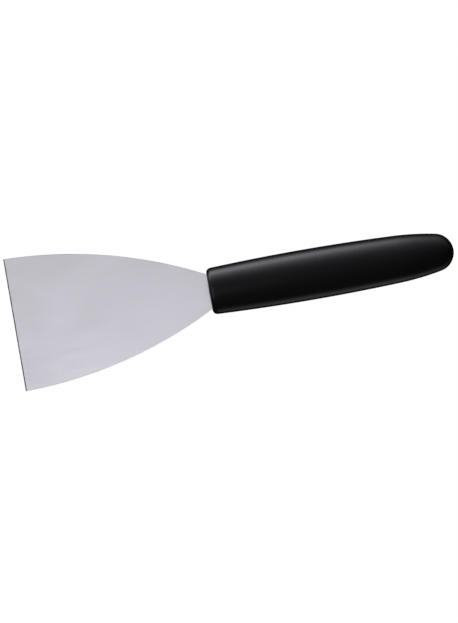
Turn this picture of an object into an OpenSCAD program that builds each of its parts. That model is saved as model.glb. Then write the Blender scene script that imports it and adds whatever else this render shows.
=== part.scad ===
// Ink knife: a wide, taper-ground steel blade whose tang is moulded into a solid plastic handle.
// It lies on the belly of its handle. +X runs from the blade's edge to the butt, +Z is square to
// the blade, and the origin is on the surface under the middle of the knife.

/* [Blade] */
// Width of the blade along its front edge
blade_w = 63.5; // [50:0.5:76]
// Length of the blade from its front edge to the handle
blade_l = 93.9; // [85:0.1:110]
// Width of the blade where it enters the handle
neck_w = 16.7; // [14:0.1:18]
// How far ahead of the front edge the curved sides would run parallel
side_lead = 3; // [0:0.5:8]
// Thickness of the steel at the handle and in the tang
neck_t = 1.6; // [1.4:0.1:2]
// Thickness of the taper-ground blade behind the front bevel
edge_t = 1.2; // [0.8:0.1:1.3]
// Length of the bevel along the front edge, ground on both faces
bevel_l = 0.6; // [0.4:0.1:1.5]
// Thickness of the blunt land that is left at the front edge
land_t = 0.2; // [0.1:0.05:0.4]

/* [Tang] */
// Length of the tang inside the handle
tang_l = 60; // [56:1:90]
// Width of the tang
tang_w = 11; // [9:0.5:12]
// Diameter of the holes that the moulded plastic locks into
lock_d = 5; // [4:0.5:6]
// Number of locking holes
lock_count = 2; // [1:1:2]
// Distance from the handle's front face to the first locking hole
lock_start = 20; // [18:1:24]
// Distance between locking holes
lock_pitch = 24; // [18:1:25]

/* [Handle] */
// Length of the handle
handle_l = 117.7; // [110:0.1:125]
// Width of the handle at its belly
handle_w = 24.4; // [23:0.1:26]
// Thickness of the handle at its belly
handle_t = 18.2; // [16:0.1:20]
// Distance from the front face to the belly, where the handle is widest
belly_x = 48.2; // [40:0.1:55]
// Radius of the long arc down each side of the handle, seen from above
body_r = 1010; // [900:10:1200]
// Radius of the arc that eases each side into the butt, seen from above
blend_r = 134; // [120:1:160]
// Radius of the rounded butt, seen from above
butt_r = 9.1; // [8.5:0.1:9.5]
// Radius of the rounded edge round the front face
front_r = 2.4; // [1:0.1:3]

/* [Hidden] */
$fn = 180;

// The front edge and the neck fix the circle that each side of the blade follows.
side_drop = (blade_w - neck_w) / 2;
side_span = blade_l + side_lead;
side_leg = (side_span ^ 2 - side_lead ^ 2 - side_drop ^ 2) / (2 * side_drop);
side_r = sqrt(side_span ^ 2 + side_leg ^ 2);
side_centre_y = neck_w / 2 - side_leg;

// The handle's outline is a chain of arcs. Each is let out past its neighbour by lap, so that the
// two cross at one clean point. A centre is [distance off the axis, distance from the front face].
lap = 0.003;
body_c = [handle_w / 2 - body_r, belly_x];
butt_c = [0, handle_l - butt_r];
blend_c = circles_meet(body_c, body_r - blend_r + lap, butt_c, blend_r - butt_r + lap);
front_c = [body_c[0] + sqrt((body_r - front_r + lap) ^ 2 - (belly_x - front_r) ^ 2), front_r];

// Sets the knife's own axis half the handle's thickness above the surface.
place = [(blade_l - handle_l) / 2, 0, handle_t / 2];

// The meeting point, nearer the front, of two circles about a and b with radii ra and rb.
function circles_meet(a, ra, b, rb) =
    let (
        d = norm(b - a),
        along = (d ^ 2 + ra ^ 2 - rb ^ 2) / (2 * d),
        across = sqrt(ra ^ 2 - along ^ 2),
        u = (b - a) / d
    )
    a + along * u + across * [u[1], -u[0]];

// Distance from the front face to where the arc about a, of radius r, passes into the arc about b.
function join_x(a, r, b) = a[1] + r * (b - a)[1] / norm(b - a);

// The part of the outline's half plane between two distances from the front face.
module strip(from, to, width = handle_w) {
    translate([0, from]) square([width, to - from]);
}

module disc(centre, radius, facets) {
    translate(centre) circle(r = radius, $fn = facets);
}

// Half of the handle's outline, with the axis along Y.
module handle_outline() {
    intersection() {
        strip(0, handle_l);
        disc(body_c, body_r, 1800);
        union() {
            disc(front_c, front_r, 90);
            strip(0, handle_l, width = front_c[0]);
            strip(join_x(body_c, body_r, front_c), handle_l);
        }
        union() {
            disc(blend_c, blend_r, 720);
            strip(0, join_x(body_c, body_r, blend_c));
        }
        union() {
            disc(butt_c, butt_r, 180);
            strip(0, join_x(blend_c, blend_r, butt_c));
        }
    }
}

// The oval handle before the steel's place is taken out of it: one quarter, mirrored to the others.
module handle_body() {
    for (across = [0, 1], up = [0, 1])
        mirror([0, across, 0])
            mirror([0, 0, up])
                scale([1, 1, handle_t / handle_w])
                    rotate([90, 0, 90])
                        rotate_extrude(angle = 90) handle_outline();
}

// The blade and tang from above. The curved sides run on into the handle until the tang hides them.
module blade_outline() {
    intersection() {
        disc([-side_span, side_centre_y], side_r, 1440);
        disc([-side_span, -side_centre_y], side_r, 1440);
        translate([-blade_l, -blade_w]) square([blade_l + neck_w, 2 * blade_w]);
    }
    translate([0, -tang_w / 2]) square([tang_l - tang_w / 2, tang_w]);
    translate([tang_l - tang_w / 2, 0]) circle(d = tang_w);
}

// The steel from the side: a tang of full thickness, the taper grind and the front bevel.
module blade_section() {
    upper = [
        [tang_l, neck_t / 2],
        [0, neck_t / 2],
        [bevel_l - blade_l, edge_t / 2],
        [-blade_l, land_t / 2]
    ];
    lower = [for (i = [len(upper) - 1:-1:0]) [upper[i][0], -upper[i][1]]];
    polygon(concat(upper, lower));
}

// The steel, which also shapes its own place in the plastic.
module steel() {
    difference() {
        intersection() {
            linear_extrude(2 * neck_t, center = true) blade_outline();
            rotate([90, 0, 0]) linear_extrude(2 * blade_w, center = true) blade_section();
        }
        for (i = [0:lock_count - 1])
            translate([lock_start + i * lock_pitch, 0, 0])
                cylinder(d = lock_d, h = 2 * neck_t, center = true);
    }
}

module blade() {
    color("silver") translate(place) steel();
}

// The plastic fills the tang's holes, so the posts in them are part of the handle.
module handle() {
    color([0.05, 0.05, 0.055]) translate(place) difference() {
        handle_body();
        steel();
    }
}

blade();
handle();
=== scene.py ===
"""Ink knife: a taper-ground steel blade moulded into an oval black plastic handle.

Lengths are metres in the frame's own axes: +X runs from the blade's edge to the butt of the
handle, and +Z is square to the blade. "Along" is a distance from the handle's front face.
"""

from math import asin, atan2, cos, hypot, pi, radians, sin, sqrt

import bmesh
import bpy
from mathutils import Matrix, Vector


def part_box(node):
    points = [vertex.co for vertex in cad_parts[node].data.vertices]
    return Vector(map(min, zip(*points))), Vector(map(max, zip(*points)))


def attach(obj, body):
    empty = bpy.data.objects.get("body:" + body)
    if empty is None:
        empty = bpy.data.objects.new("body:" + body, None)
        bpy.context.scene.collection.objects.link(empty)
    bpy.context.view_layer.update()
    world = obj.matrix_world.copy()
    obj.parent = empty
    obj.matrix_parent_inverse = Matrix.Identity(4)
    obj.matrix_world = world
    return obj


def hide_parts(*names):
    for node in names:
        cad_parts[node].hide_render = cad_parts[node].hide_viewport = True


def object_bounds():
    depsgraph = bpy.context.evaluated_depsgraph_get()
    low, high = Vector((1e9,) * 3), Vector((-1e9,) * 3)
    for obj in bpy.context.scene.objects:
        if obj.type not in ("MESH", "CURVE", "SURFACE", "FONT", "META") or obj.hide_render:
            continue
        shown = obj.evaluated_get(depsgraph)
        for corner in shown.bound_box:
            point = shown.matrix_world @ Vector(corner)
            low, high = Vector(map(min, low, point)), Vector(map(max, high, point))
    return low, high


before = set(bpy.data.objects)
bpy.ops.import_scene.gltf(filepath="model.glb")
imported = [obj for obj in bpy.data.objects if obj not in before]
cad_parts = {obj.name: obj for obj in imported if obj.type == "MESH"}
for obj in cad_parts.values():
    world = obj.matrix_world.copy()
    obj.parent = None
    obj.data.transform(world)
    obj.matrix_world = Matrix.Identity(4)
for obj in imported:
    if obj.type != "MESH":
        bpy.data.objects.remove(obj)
CAD_BOX = [list(corner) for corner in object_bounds()]
BLADE_LOW, BLADE_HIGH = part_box("blade")
HANDLE_LOW, HANDLE_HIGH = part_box("handle")
MM = 0.001

# ---- Places and sizes, from the frame where it says them ----
FRONT_X = HANDLE_LOW.x
AXIS_Z = (HANDLE_LOW.z + HANDLE_HIGH.z) / 2

HANDLE_LENGTH = HANDLE_HIGH.x - HANDLE_LOW.x
HANDLE_WIDTH = HANDLE_HIGH.y - HANDLE_LOW.y
HANDLE_FLATNESS = (HANDLE_HIGH.z - HANDLE_LOW.z) / HANDLE_WIDTH
BELLY_ALONG = 48.2 * MM
BODY_RADIUS = 1010 * MM
BLEND_RADIUS = 134 * MM
BUTT_RADIUS = 9.1 * MM
FRONT_RADIUS = 2.4 * MM
PARTING_HEIGHT = 0.03 * MM
PARTING_HALF = 0.1 * MM
# Half the parting line is never wider than this share of one step round the handle.
WIDEST_RIDGE = 0.6

BLADE_LENGTH = FRONT_X - BLADE_LOW.x
BLADE_WIDTH = BLADE_HIGH.y - BLADE_LOW.y
NECK_WIDTH = 16.7 * MM
SIDE_LEAD = 3 * MM
NECK_HALF = (BLADE_HIGH.z - BLADE_LOW.z) / 2
EDGE_HALF = 0.6 * MM
LAND_HALF = 0.1 * MM
BEVEL_LENGTH = 0.6 * MM
TANG_LENGTH = BLADE_HIGH.x - FRONT_X
TANG_HALF = 5.5 * MM
LOCK_RADIUS = 2.5 * MM
LOCK_ALONG = (20 * MM, 44 * MM)
EDGE_ROUND = 0.12 * MM
# The tang's place in the handle is this much larger all round than the tang.
FIT = 0.02 * MM

# ---- How finely each curve is divided, and the angle over which an edge stays sharp ----
SIDE_STEPS = 64
TANG_STEPS = 16
EDGE_STEPS = 3
HOLE_STEPS = 48
FRONT_STEPS = 10
BODY_STEPS = 60
BLEND_STEPS = 24
BUTT_STEPS = 28
FLANK_STEPS = 60
SHARP_ANGLE = radians(35)

# ---- The photograph's view: from straight above, the knife turned a little ----
# The camera's height is over the knife's axis, and its offset is from the knife's middle.
VIEW_TURN = radians(-9.8)
VIEW_HEIGHT = 822 * MM
VIEW_OFFSET = Vector((-4.3 * MM, -10.86 * MM, 0))
LENS_MM = 100
SENSOR_MM = 36


# ---- Mesh helpers ----
def piece_from(bm, name):
    """A new object of that name with the bmesh as its mesh."""
    bmesh.ops.recalc_face_normals(bm, faces=bm.faces)
    mesh = bpy.data.meshes.new(name)
    bm.to_mesh(mesh)
    bm.free()
    piece = bpy.data.objects.new(name, mesh)
    bpy.context.scene.collection.objects.link(piece)
    return piece


def bridge(bm, lower, upper):
    """One band of faces between two closed rings of the same count."""
    for i in range(len(lower)):
        j = (i + 1) % len(lower)
        bm.faces.new((lower[i], lower[j], upper[j], upper[i]))


def cut(piece, cutter):
    """Takes the cutter out of the piece's mesh, and removes the cutter."""
    modifier = piece.modifiers.new("cut", "BOOLEAN")
    modifier.operation = "DIFFERENCE"
    modifier.solver = "EXACT"
    modifier.object = cutter
    depsgraph = bpy.context.evaluated_depsgraph_get()
    piece.data = bpy.data.meshes.new_from_object(piece.evaluated_get(depsgraph))
    piece.modifiers.clear()
    bpy.data.objects.remove(cutter)


def shade(piece):
    """Smooth shading that keeps flat faces flat and sharp edges crisp."""
    piece.data.shade_smooth()
    piece.data.set_sharp_from_angle(angle=SHARP_ANGLE)
    weighted = piece.modifiers.new("weighted_normals", "WEIGHTED_NORMAL")
    weighted.keep_sharp = True


# ---- Blade ----
def side_arc():
    """Radius and centre (along, across) of the +Y side's arc, through front corner and neck."""
    drop = (BLADE_WIDTH - NECK_WIDTH) / 2
    span = BLADE_LENGTH + SIDE_LEAD
    leg = (span**2 - SIDE_LEAD**2 - drop**2) / (2 * drop)
    return hypot(span, leg), -span, NECK_WIDTH / 2 - leg


def steel_outline():
    """The +Y half of the blade and tang from above, as (along, across) from edge to tang end."""
    radius, centre_along, centre_across = side_arc()
    start = asin((-BLADE_LENGTH - centre_along) / radius)
    end = asin(sqrt(radius**2 - (TANG_HALF - centre_across) ** 2) / radius)
    side = [start + (end - start) * i / SIDE_STEPS for i in range(SIDE_STEPS + 1)]
    points = [(centre_along + radius * sin(a), centre_across + radius * cos(a)) for a in side]
    turns = [pi / 2 * i / TANG_STEPS for i in range(TANG_STEPS)]
    tang_turn = TANG_LENGTH - TANG_HALF
    points += [(tang_turn + TANG_HALF * sin(a), TANG_HALF * cos(a)) for a in turns]
    return points


def offset(points, distance):
    """A closed counter-clockwise outline moved inwards by the distance, with mitred corners."""
    moved = []
    for i, here in enumerate(points):
        into = (here - points[i - 1]).normalized()
        out = (points[(i + 1) % len(points)] - here).normalized()
        normals = Vector((-into.y - out.y, into.x + out.x))
        moved.append(here + normals * distance / (1 + into.dot(out)))
    return moved


def half_thickness(along):
    """Half the steel's thickness: full in the tang, tapered in the blade, bevelled at the edge."""
    bevel_start = BEVEL_LENGTH - BLADE_LENGTH
    if along < bevel_start:
        share = (along + BLADE_LENGTH) / BEVEL_LENGTH
        return LAND_HALF + (EDGE_HALF - LAND_HALF) * share
    share = min(max(along / bevel_start, 0), 1)
    return NECK_HALF + (EDGE_HALF - NECK_HALF) * share


def steel(name, grow=0.0):
    """The blade and tang with slightly rounded edges, grown all round by a little if asked."""
    upper = steel_outline()
    tip = [(TANG_LENGTH, 0)]
    lower = [(along, -across) for along, across in reversed(upper)]
    outline = [Vector(p) for p in reversed(upper + tip + lower)]
    outline = offset(outline, -grow)
    rounded = EDGE_ROUND / NECK_HALF
    turns = [pi / 2 * i / EDGE_STEPS for i in range(EDGE_STEPS + 1)]
    levels = [(EDGE_ROUND * (1 - cos(a)), 1 - rounded + rounded * sin(a)) for a in turns]
    bm = bmesh.new()
    rings = []
    for inset, height in [(i, -h) for i, h in reversed(levels)] + levels:
        ring = offset(outline, inset)
        rings.append([bm.verts.new((p.x, p.y, height)) for p in ring])
    for below, above in zip(rings, rings[1:]):
        bridge(bm, below, above)
    bm.faces.new(reversed(rings[0]))
    bm.faces.new(rings[-1])
    for along in (BEVEL_LENGTH - BLADE_LENGTH, 0):
        everything = bm.verts[:] + bm.edges[:] + bm.faces[:]
        bmesh.ops.bisect_plane(bm, geom=everything, plane_co=(along, 0, 0), plane_no=(1, 0, 0))
    for v in bm.verts:
        height = v.co.z * (half_thickness(v.co.x) + grow)
        v.co = (v.co.x + FRONT_X, v.co.y, height + AXIS_Z)
    return piece_from(bm, name)


def cut_locking_holes(piece, radius):
    """Bores the tang's two locking holes, right through it."""
    depth = 6 * NECK_HALF
    for along in LOCK_ALONG:
        bm = bmesh.new()
        bmesh.ops.create_cone(
            bm, cap_ends=True, segments=HOLE_STEPS, radius1=radius, radius2=radius, depth=depth
        )
        bmesh.ops.translate(bm, vec=(FRONT_X + along, 0, AXIS_Z), verts=bm.verts)
        cut(piece, piece_from(bm, "bore"))


def lay_grain_map(piece):
    """A flat map whose first axis runs across the knife, square to the lines of the grinding."""
    layer = piece.data.uv_layers.new(name="grain")
    for loop in piece.data.loops:
        place = piece.data.vertices[loop.vertex_index].co
        layer.data[loop.index].uv = (place.y / BLADE_WIDTH, place.x / BLADE_WIDTH)


def make_blade(material):
    """The finished blade and tang, in the place of the CAD's own."""
    blade = steel("ground_blade")
    cut_locking_holes(blade, LOCK_RADIUS)
    lay_grain_map(blade)
    shade(blade)
    blade.data.materials.clear()
    blade.data.materials.append(material)
    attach(blade, "root")
    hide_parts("blade")
    return blade


# ---- Handle ----
def arc(centre, radius, start, end, steps):
    """Points (along, out, facing) on an arc; facing is the angle its normal leans to the butt."""
    turns = [start + (end - start) * i / steps for i in range(steps)]
    return [(centre.x + radius * sin(a), centre.y + radius * cos(a), a) for a in turns]


def handle_profile():
    """The handle's outline from the front face to the butt, a chain of tangent arcs."""
    body = Vector((BELLY_ALONG, HANDLE_WIDTH / 2 - BODY_RADIUS))
    butt = Vector((HANDLE_LENGTH - BUTT_RADIUS, 0))
    to_butt = butt - body
    reach = to_butt.length
    body_gap = BODY_RADIUS - BLEND_RADIUS
    butt_gap = BLEND_RADIUS - BUTT_RADIUS
    ahead = (reach**2 + body_gap**2 - butt_gap**2) / (2 * reach)
    aside = sqrt(body_gap**2 - ahead**2)
    unit = to_butt / reach
    blend = body + ahead * unit + aside * Vector((-unit.y, unit.x))
    front_out = body.y + sqrt((BODY_RADIUS - FRONT_RADIUS) ** 2 - (BELLY_ALONG - FRONT_RADIUS) ** 2)
    front = Vector((FRONT_RADIUS, front_out))
    at_front = atan2(front.x - body.x, front.y - body.y)
    at_blend = atan2(blend.x - body.x, blend.y - body.y)
    at_butt = atan2(butt.x - blend.x, butt.y - blend.y)
    points = arc(front, FRONT_RADIUS, -pi / 2, at_front, FRONT_STEPS)
    points += arc(body, BODY_RADIUS, at_front, at_blend, BODY_STEPS)
    points += arc(blend, BLEND_RADIUS, at_blend, at_butt, BLEND_STEPS)
    points += arc(butt, BUTT_RADIUS, at_butt, pi / 2, BUTT_STEPS)
    return points


def handle_ring(along, out, facing):
    """One oval ring of the handle, with the fine parting line of the mould on both sides."""
    step = pi / FLANK_STEPS
    ridge = min(PARTING_HALF / (out * HANDLE_FLATNESS), step * WIDEST_RIDGE)
    half_turn = [0, ridge] + [step * i for i in range(1, FLANK_STEPS)] + [pi - ridge]
    ring = []
    for angle in half_turn + [pi + a for a in half_turn]:
        sunk = 0 if angle in (0, pi) else PARTING_HEIGHT
        x = along - sunk * sin(facing)
        r = out - sunk * cos(facing)
        ring.append((x + FRONT_X, r * cos(angle), r * sin(angle) * HANDLE_FLATNESS + AXIS_Z))
    return ring


def handle_solid():
    """The handle's closed oval body, before the tang's place is cut out of it."""
    bm = bmesh.new()
    rings = [[bm.verts.new(p) for p in handle_ring(*point)] for point in handle_profile()]
    for front, back in zip(rings, rings[1:]):
        bridge(bm, front, back)
    bm.faces.new(rings[0])
    pole = bm.verts.new((HANDLE_HIGH.x, 0, AXIS_Z))
    last = rings[-1]
    for i in range(len(last)):
        bm.faces.new((last[i], last[(i + 1) % len(last)], pole))
    return piece_from(bm, "moulded_handle")


def make_handle(material):
    """The finished handle, with plastic posts left standing in the tang's locking holes."""
    handle = handle_solid()
    tang_place = steel("tang_place", grow=FIT)
    cut_locking_holes(tang_place, LOCK_RADIUS - FIT)
    cut(handle, tang_place)
    shade(handle)
    handle.data.materials.clear()
    handle.data.materials.append(material)
    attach(handle, "root")
    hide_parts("handle")
    return handle


# ---- Material helpers ----
# The colour sockets of a Mix node.
MIX_LOW, MIX_HIGH, MIX_RESULT = 6, 7, 2


def new_material(name):
    """A node material, its node tree and its Principled shader."""
    material = bpy.data.materials.new(name)
    material.use_nodes = True
    tree = material.node_tree
    return material, tree, tree.nodes["Principled BSDF"]


def add_node(tree, kind, inputs=None, **settings):
    """A new node with its settings and input values set; an input may be a socket to link."""
    node = tree.nodes.new(kind)
    for key, value in settings.items():
        setattr(node, key, value)
    for key, value in (inputs or {}).items():
        if isinstance(value, bpy.types.NodeSocket):
            tree.links.new(value, node.inputs[key])
        else:
            node.inputs[key].default_value = value
    return node


def calculate(tree, operation, a, b):
    """The result of one Math node."""
    return add_node(tree, "ShaderNodeMath", {0: a, 1: b}, operation=operation).outputs[0]


def noise(tree, cell, detail=2.0, roughness=0.5):
    """Noise from 0 to 1 whose cells have about that size along x, y and z, in metres."""
    place = add_node(tree, "ShaderNodeTexCoord")
    scale = [1 / size for size in cell]
    mapping = add_node(
        tree, "ShaderNodeMapping", {"Vector": place.outputs["Object"], "Scale": scale}
    )
    texture = add_node(
        tree,
        "ShaderNodeTexNoise",
        {"Vector": mapping.outputs["Vector"], "Scale": 1, "Detail": detail, "Roughness": roughness},
    )
    return texture.outputs["Fac"]


def spread(tree, value, low, high, from_low=0.3, from_high=0.7):
    """The value, mapped to low..high from its own range, which is 0.3..0.7 for most noise."""
    mapped = add_node(
        tree,
        "ShaderNodeMapRange",
        {
            "Value": value,
            "From Min": from_low,
            "From Max": from_high,
            "To Min": low,
            "To Max": high,
        },
    )
    return mapped.outputs["Result"]


def blend_colours(tree, share, low, high):
    """A colour between the two, by a share from 0 to 1."""
    colours = {0: share, MIX_LOW: (*low, 1), MIX_HIGH: (*high, 1)}
    return add_node(tree, "ShaderNodeMix", colours, data_type="RGBA").outputs[MIX_RESULT]


def bump(tree, height, depth, under=None):
    """Relief of that depth in metres, laid over another relief if there is one."""
    inputs = {"Height": height, "Distance": depth, "Strength": 1}
    if under is not None:
        inputs["Normal"] = under
    return add_node(tree, "ShaderNodeBump", inputs).outputs["Normal"]


# ---- Materials ----
STEEL_DARK = (0.59, 0.59, 0.595)
STEEL_LIGHT = (0.64, 0.64, 0.645)
GRAIN_DEPTH = 0.0011 * MM
PLASTIC_DARK = (0.0080, 0.0080, 0.0082)
PLASTIC_LIGHT = (0.0100, 0.0100, 0.0103)
SKIN_DEPTH = 0.0028 * MM
RIPPLE_DEPTH = 0.004 * MM


def ground_steel():
    """Matt steel with fine grinding lines along the blade, a few light scratches and uneven sheen."""
    material, tree, shader = new_material("ground_steel")
    lines = noise(tree, (9 * MM, 0.16 * MM, 1 * MM), detail=3, roughness=0.6)
    deeper = noise(tree, (45 * MM, 0.3 * MM, 5 * MM), detail=1)
    streaks = noise(tree, (30 * MM, 1.1 * MM, 5 * MM), detail=2)
    patches = noise(tree, (26 * MM, 18 * MM, 20 * MM), detail=3)
    scratches = spread(tree, deeper, 0, -1.5, from_low=0.68, from_high=0.78)
    grain = calculate(tree, "ADD", spread(tree, lines, -0.5, 0.5), scratches)
    shine = spread(tree, grain, 0, 1, from_low=-1, from_high=1)
    colour = blend_colours(tree, shine, STEEL_DARK, STEEL_LIGHT)
    dull = spread(tree, patches, 0.44, 0.46)
    rough = calculate(tree, "ADD", dull, spread(tree, streaks, -0.012, 0.012))
    tangent = add_node(tree, "ShaderNodeTangent", direction_type="UV_MAP", uv_map="grain")
    tree.links.new(colour, shader.inputs["Base Color"])
    tree.links.new(rough, shader.inputs["Roughness"])
    tree.links.new(bump(tree, grain, GRAIN_DEPTH), shader.inputs["Normal"])
    tree.links.new(tangent.outputs[0], shader.inputs["Tangent"])
    shader.inputs["Metallic"].default_value = 1
    shader.inputs["Anisotropic"].default_value = 0.2
    return material


def satin_plastic():
    """Black moulded plastic with a fine satin skin, a little glossier where hands polish it."""
    material, tree, shader = new_material("satin_plastic")
    skin = noise(tree, (0.22 * MM, 0.22 * MM, 0.22 * MM), detail=2)
    ripple = noise(tree, (14 * MM, 6 * MM, 6 * MM), detail=1)
    handling = noise(tree, (22 * MM, 9 * MM, 9 * MM), detail=3)
    colour = blend_colours(tree, handling, PLASTIC_DARK, PLASTIC_LIGHT)
    tree.links.new(colour, shader.inputs["Base Color"])
    tree.links.new(spread(tree, handling, 0.22, 0.26), shader.inputs["Roughness"])
    relief = bump(tree, skin, SKIN_DEPTH, under=bump(tree, ripple, RIPPLE_DEPTH))
    tree.links.new(relief, shader.inputs["Normal"])
    shader.inputs["IOR"].default_value = 1.49
    return material


# ---- Studio ----
FLOOR_HALF = 4.0
# The window's dome: its radius, its fineness, and the share of the radius it starts at on +Y.
WINDOW_RADIUS = 8.0
WINDOW_FINENESS = 4
WINDOW_START = 0.35
LIGHT_TINT = (0.981, 0.967, 1.05)
# Levels by the lean from overhead towards +Y, or for the glow towards -Y, in degrees. Past 90 they
# come from below the horizon.
SKY_LIGHT = [
    (-95, 0.0),
    (-75, 0.05),
    (-17, 0.06),
    (0, 0.08),
    (17, 0.13),
    (26, 0.18),
    (36, 0.27),
    (50, 0.45),
    (64, 0.6),
    (90, 0.5),
    (120, 0.0),
]
WINDOW_LIGHT = [
    (36, 0.0),
    (44, 0.1),
    (54, 0.45),
    (64, 1.1),
    (76, 3.0),
    (89, 3.0),
    (98, 1.2),
    (108, 0.2),
    (125, 0.0),
]
GLOW_LIGHT = [(80, 0.0), (96, 0.35), (112, 0.7), (128, 0.08), (140, 0.0)]
# How each fades towards the blade's end and towards the butt, by the direction's x.
SKY_FADE = [(-1.0, 0.5), (-0.5, 1.0), (0.12, 1.0), (0.31, 0.65), (0.76, 0.35), (1.0, 0.1)]
WINDOW_FADE = [
    (-1.0, 0.0),
    (-0.85, 0.1),
    (-0.65, 0.9),
    (-0.25, 1.0),
    (0.0, 1.0),
    (0.1, 0.74),
    (0.16, 0.47),
    (0.31, 0.16),
    (1.0, 0.0),
]
GLOW_FADE = [
    (-1.0, 0.0),
    (-0.14, 0.0),
    (-0.06, 0.4),
    (0.0, 1.0),
    (0.1, 1.0),
    (0.3, 0.6),
    (1.0, 0.0),
]
# A dim wide panel high over the blade's end: its level by the cosine of the angle from its middle.
PANEL_DIRECTION = (-0.53, -0.08, 0.85)
PANEL_LIGHT = [(-1.0, 0.0), (0.88, 0.0), (0.96, 0.5), (1.0, 0.5)]
# Soft panels that light the blade alone: place from the blade's middle, size, and power in watts.
BLADE_PANELS = [
    ((-0.06, -0.12, 1.0), (0.6, 0.25), 1.84),
    ((0.0, -1.0, 0.4), (1.4, 0.5), 1.5),
    ((0.9, -0.5, 0.35), (0.8, 0.5), 1.2),
    ((0.9, 0.5, 0.35), (0.8, 0.5), 1.0),
]


def floor_paper():
    """Plain white paper, lit to full white from below, as on a light table."""
    material, tree, shader = new_material("floor_paper")
    fibres = noise(tree, (3 * MM, 3 * MM, 3 * MM), detail=4)
    colour = blend_colours(tree, fibres, (0.05, 0.05, 0.05), (0.06, 0.06, 0.06))
    tree.links.new(colour, shader.inputs["Base Color"])
    shader.inputs["Roughness"].default_value = 1
    shader.inputs["Specular IOR Level"].default_value = 0
    shader.inputs["Emission Color"].default_value = (1, 1, 1, 1)
    shader.inputs["Emission Strength"].default_value = 1.0
    return material


def make_floor():
    """A wide floor that the object doesn't mirror, so its flanks stay as dark as the studio."""
    bm = bmesh.new()
    bmesh.ops.create_grid(bm, x_segments=1, y_segments=1, size=FLOOR_HALF)
    floor = piece_from(bm, "floor")
    floor.location.z = CAD_BOX[0][2]
    floor.data.materials.append(floor_paper())
    floor.visible_glossy = False
    floor.visible_diffuse = False
    floor.visible_shadow = False


def curve_over(tree, value, stops):
    """The level for the value, on straight lines through the stops (value, level)."""
    low, high = stops[0][0], stops[-1][0]
    top = max(level for place, level in stops)
    share = spread(tree, value, 0, 1, from_low=low, from_high=high)
    ramp = add_node(tree, "ShaderNodeValToRGB", {"Fac": share})
    elements = ramp.color_ramp.elements
    while len(elements) < len(stops):
        elements.new(1.0)
    for element, (place, level) in zip(elements, stops):
        element.position = (place - low) / (high - low)
        element.color = (level / top, level / top, level / top, 1)
    return calculate(tree, "MULTIPLY", ramp.outputs["Color"], top)


def level_from(tree, direction, light, fade, side=1):
    """The level towards a direction: by its lean to the +Y side, or -Y with side -1, and its x."""
    x, y, z = add_node(tree, "ShaderNodeSeparateXYZ", {"Vector": direction}).outputs
    lean = calculate(tree, "MULTIPLY", calculate(tree, "ARCTAN2", y, z), side * 180 / pi)
    return calculate(tree, "MULTIPLY", curve_over(tree, lean, light), curve_over(tree, x, fade))


def light_only(lamp, piece):
    """Links a lamp or a glowing mesh to that piece, and hides it from the camera."""
    lit = bpy.data.collections.new(f"lit_by_{lamp.name}")
    lit.objects.link(piece)
    lamp.light_linking.receiver_collection = lit
    lamp.visible_camera = False


def make_window(handle):
    """Part of a great clear dome on the +Y side. It glows as a long low window does, and lights
    only the handle, because the flat blade would mirror it as white from a low angle."""
    bm = bmesh.new()
    bmesh.ops.create_icosphere(bm, subdivisions=WINDOW_FINENESS, radius=WINDOW_RADIUS)
    behind = [f for f in bm.faces if f.calc_center_median().y < WINDOW_START * WINDOW_RADIUS]
    bmesh.ops.delete(bm, geom=behind, context="FACES")
    window = piece_from(bm, "window")
    material, tree, shader = new_material("window_glow")
    tree.nodes.remove(shader)
    place = add_node(tree, "ShaderNodeTexCoord").outputs["Object"]
    direction = add_node(tree, "ShaderNodeVectorMath", {0: place}, operation="NORMALIZE")
    level = level_from(tree, direction.outputs[0], WINDOW_LIGHT, WINDOW_FADE)
    glow = add_node(tree, "ShaderNodeEmission", {"Color": (*LIGHT_TINT, 1), "Strength": level})
    clear = add_node(tree, "ShaderNodeBsdfTransparent")
    both = add_node(tree, "ShaderNodeAddShader")
    tree.links.new(glow.outputs[0], both.inputs[0])
    tree.links.new(clear.outputs[0], both.inputs[1])
    tree.links.new(both.outputs[0], tree.nodes["Material Output"].inputs["Surface"])
    window.data.materials.append(material)
    window.visible_shadow = False
    light_only(window, handle)


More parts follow.
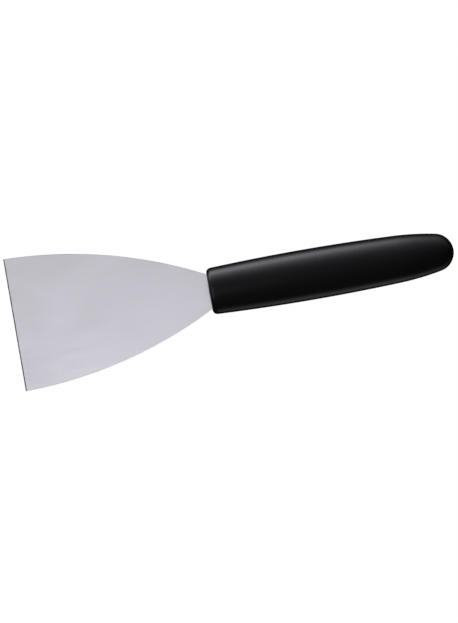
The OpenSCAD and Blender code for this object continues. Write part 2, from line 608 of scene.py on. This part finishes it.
def make_studio_light():
    """Soft light from all round: a dim sky, a weak glow off the table on the -Y side, and a dim
    panel over the blade. The camera sees plain white beyond the floor."""
    world = bpy.data.worlds.new("studio")
    bpy.context.scene.world = world
    world.use_nodes = True
    tree = world.node_tree
    tree.nodes.clear()
    place = add_node(tree, "ShaderNodeTexCoord").outputs["Generated"]
    sky = level_from(tree, place, SKY_LIGHT, SKY_FADE)
    glow = level_from(tree, place, GLOW_LIGHT, GLOW_FADE, side=-1)
    toward_panel = add_node(
        tree, "ShaderNodeVectorMath", {0: place, 1: PANEL_DIRECTION}, operation="DOT_PRODUCT"
    )
    panel = curve_over(tree, toward_panel.outputs["Value"], PANEL_LIGHT)
    level = calculate(tree, "ADD", calculate(tree, "ADD", sky, glow), panel)
    lit = add_node(
        tree, "ShaderNodeBackground", {"Color": (*LIGHT_TINT, 1), "Strength": level}
    )
    seen = add_node(tree, "ShaderNodeBackground", {"Color": (1, 1, 1, 1), "Strength": 1.0})
    rays = add_node(tree, "ShaderNodeLightPath")
    chosen = add_node(tree, "ShaderNodeMixShader")
    tree.links.new(rays.outputs["Is Camera Ray"], chosen.inputs[0])
    tree.links.new(lit.outputs[0], chosen.inputs[1])
    tree.links.new(seen.outputs[0], chosen.inputs[2])
    out = add_node(tree, "ShaderNodeOutputWorld")
    tree.links.new(chosen.outputs[0], out.inputs["Surface"])


def light_blade(blade):
    """Soft panels round and over the blade, which the glossy handle doesn't mirror."""
    middle = (BLADE_LOW + BLADE_HIGH) / 2
    for number, (place, size, power) in enumerate(BLADE_PANELS, start=1):
        data = bpy.data.lights.new(f"blade_panel_{number}", "AREA")
        data.shape = "RECTANGLE"
        data.size, data.size_y = size
        data.energy = power
        data.color = LIGHT_TINT
        panel = bpy.data.objects.new(data.name, data)
        bpy.context.scene.collection.objects.link(panel)
        panel.location = middle + Vector(place)
        panel.rotation_euler = Vector(place).to_track_quat("Z", "Y").to_euler()
        light_only(panel, blade)


def make_camera():
    """The photograph's camera, which looks straight down at the knife."""
    low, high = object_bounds()
    data = bpy.data.cameras.new("camera")
    data.lens = LENS_MM
    data.sensor_width = SENSOR_MM
    camera = bpy.data.objects.new("camera", data)
    bpy.context.scene.collection.objects.link(camera)
    camera.location = (low + high) / 2 + VIEW_OFFSET
    camera.location.z = AXIS_Z + VIEW_HEIGHT
    camera.rotation_euler = (0, 0, VIEW_TURN)
    bpy.context.scene.camera = camera


make_camera()
light_blade(make_blade(ground_steel()))
make_window(make_handle(satin_plastic()))
make_floor()
make_studio_light()
bpy.context.scene.view_settings.view_transform = "Standard"
